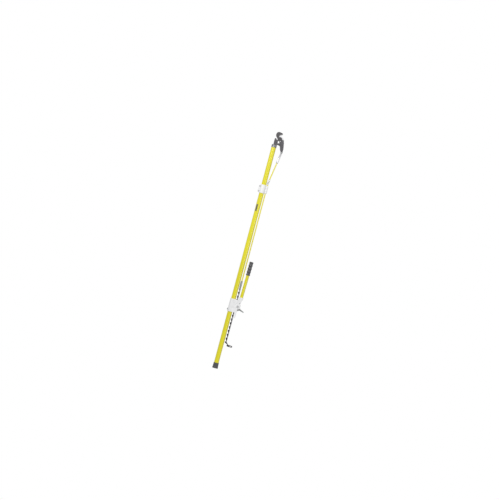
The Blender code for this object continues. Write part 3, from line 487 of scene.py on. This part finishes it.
def rods():
    """The pull rod, the leaning rod and the lever's tube."""
    profile = rounded(bar(ROD_R, ROD_LOW, ROD_HIGH, ROD_EASE, ROD_EASE), 0.2)
    grid = revolve(profile, np.array((ROD_U, 0.0, 0.0)), UPRIGHT, ROD_SIDES)
    made = mesh_object("pull_rod_skin", [grid], YELLOW, "rod")
    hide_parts("lower_rod")
    way = LINK_TOP - LINK_LOW
    high = np.linalg.norm(way) - CLEVIS_LEN
    profile = rounded(bar(ROD_R, LINK_ROD_LOW, high, ROD_EASE, ROD_EASE), 0.2)
    grid = revolve(profile, LINK_LOW, way, ROD_SIDES)
    made = mesh_object("link_rod_skin", [grid], YELLOW, "link")
    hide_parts("upper_rod")
    tube = [
        (LEVER_BORE, LEVER_HIGH), (LEVER_R, LEVER_HIGH),
        (LEVER_R, LEVER_LOW), (LEVER_BORE, LEVER_LOW),
    ]
    grid = revolve(tube, LEVER_FOOT, LEVER_UP, TUBE_SIDES)
    made = mesh_object("lever_tube_skin", [grid], YELLOW, "lever", "joined")
    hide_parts("lever_tube")


def grip():
    """The moulded grip: along its n grooves the radius is the grip's own plus the
    groove's depth times cos(2 pi n t). It has a collar at the foot, and its end is a
    quarter circle of the dome's radius."""
    low = GRIP_LOW
    high = GRIP_HIGH
    bore = LEVER_R + SEAT
    a = np.radians(np.linspace(90.0, 0.0, 11))
    rise = high - DOME_R + DOME_R * np.sin(a)
    dome = np.stack((DOME_IN + DOME_R * np.cos(a), rise), axis=1)
    t = np.arange(GROOVE_STEPS - 1, 0, -1) / GROOVE_STEPS
    wave = GRIP_R + GROOVE * np.cos(2.0 * math.pi * GROOVES * t)
    body = np.stack((wave, low + 5.0 + (high - low - 13.0) * t), axis=1)
    collar = [(16.6, low + 4.0), (16.6, low + 1.5), (15.4, low), (bore, low)]
    inside = [(bore, high - 5.7), (0.0, high - 5.7)]
    profile = np.vstack(((0.0, high), dome, body, collar, inside))
    grid = revolve(profile, LEVER_FOOT, LEVER_UP, GRIP_SIDES)
    made = mesh_object("grip_skin", [grid], RUBBER, "lever")
    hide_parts("lever_grip")


def chain():
    """The roller chain: waisted plates in pairs, inner and outer by turns, on rollers
    and riveted pins. The fork's own pin takes the top joint."""
    inner = []
    outer = []
    for k, (a, b) in enumerate(zip(JOINTS, JOINTS[1:])):
        plates, (y0, y1) = (outer, OUTER_Y) if k % 2 else (inner, INNER_Y)
        outline = belt(a, b)
        plates += [slab(outline, y0, y1), slab(outline, -y1, -y0)]
    shaft = bar(PIN_R, -PIN_HALF, PIN_HALF, PIN_EASE, PIN_EASE)
    roll = bar(ROLLER_R, -ROLLER_HALF, ROLLER_HALF, ROLLER_INSET, ROLLER_EASE)
    spots = [np.array((u, 0.0, z)) for u, z in JOINTS]
    pins = [revolve(shaft, spot, ACROSS, PIN_SIDES) for spot in spots[1:]]
    rollers = [revolve(roll, spot, ACROSS, PIN_SIDES) for spot in spots]
    made = mesh_object("chain_inner_links", inner, LINKS, "rod", "flat")
    mesh_object("chain_outer_links", outer, LINKS, "rod", "flat")
    mesh_object("chain_pins", pins, DARK, "rod")
    mesh_object("chain_rollers", rollers, ZINC, "rod")
    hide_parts("roller_chain")


# Light, background and camera

WORLD_LIGHT = 0.45
LAMPS = (
    ("key", (-2.2, -3.4, 3.2), 118.0, 2.4),
    ("fill", (3.0, -3.0, 1.4), 46.0, 2.6),
)
LEAN = math.radians(14.93)
METRES_PER_PIXEL = 0.00804
PICTURE_PIXELS = 500.0
LENS = 100.0
SENSOR = 36.0
VIEW_CENTRE = (0.0243, 0.9883)


def plain(tree, strength):
    """A white background of a given strength."""
    node = tree.nodes.new("ShaderNodeBackground")
    node.inputs["Color"].default_value = (1.0, 1.0, 1.0, 1.0)
    node.inputs["Strength"].default_value = strength
    return node.outputs["Background"]


def setting():
    """Plain soft light on white: the world lights the object less than it shows."""
    world = bpy.data.worlds.new("white")
    bpy.context.scene.world = world
    world.use_nodes = True
    tree = world.node_tree
    tree.nodes.clear()
    ray = tree.nodes.new("ShaderNodeLightPath")
    add = tree.nodes.new("ShaderNodeMath")
    add.operation = "ADD"
    add.use_clamp = True
    tree.links.new(ray.outputs["Is Camera Ray"], add.inputs[0])
    tree.links.new(ray.outputs["Is Transmission Ray"], add.inputs[1])
    pick = tree.nodes.new("ShaderNodeMixShader")
    tree.links.new(add.outputs["Value"], pick.inputs["Fac"])
    tree.links.new(plain(tree, WORLD_LIGHT), pick.inputs[1])
    tree.links.new(plain(tree, 1.0), pick.inputs[2])
    out = tree.nodes.new("ShaderNodeOutputWorld")
    tree.links.new(pick.outputs["Shader"], out.inputs["Surface"])
    for name, spot, power, size in LAMPS:
        light = bpy.data.lights.new(name, "AREA")
        light.energy = power
        light.size = size
        obj = bpy.data.objects.new(name, light)
        bpy.context.scene.collection.objects.link(obj)
        obj.location = spot
        aim = Vector((0.0, 0.0, 1.0)) - Vector(spot)
        obj.rotation_euler = aim.to_track_quat("-Z", "Y").to_euler()


def camera():
    """A long lens from the front, rolled so the pole leans as photographed."""
    far = PICTURE_PIXELS * METRES_PER_PIXEL * LENS / SENSOR
    data = bpy.data.cameras.new("camera")
    data.lens = LENS
    data.sensor_width = SENSOR
    data.sensor_height = SENSOR
    data.clip_end = 100.0
    obj = bpy.data.objects.new("camera", data)
    bpy.context.scene.collection.objects.link(obj)
    right = Vector((math.cos(LEAN), 0.0, math.sin(LEAN)))
    up = Vector((-math.sin(LEAN), 0.0, math.cos(LEAN)))
    back = Vector((0.0, -1.0, 0.0))
    turn = Matrix((right, up, back)).transposed().to_4x4()
    place = Vector((VIEW_CENTRE[0], -far, VIEW_CENTRE[1]))
    obj.matrix_world = Matrix.Translation(place) @ turn
    bpy.context.scene.camera = obj


dress(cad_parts)
pole()
rods()
grip()
chain()
setting()
camera()
bpy.context.scene.view_settings.view_transform = "Standard"
bpy.context.view_layer.update()
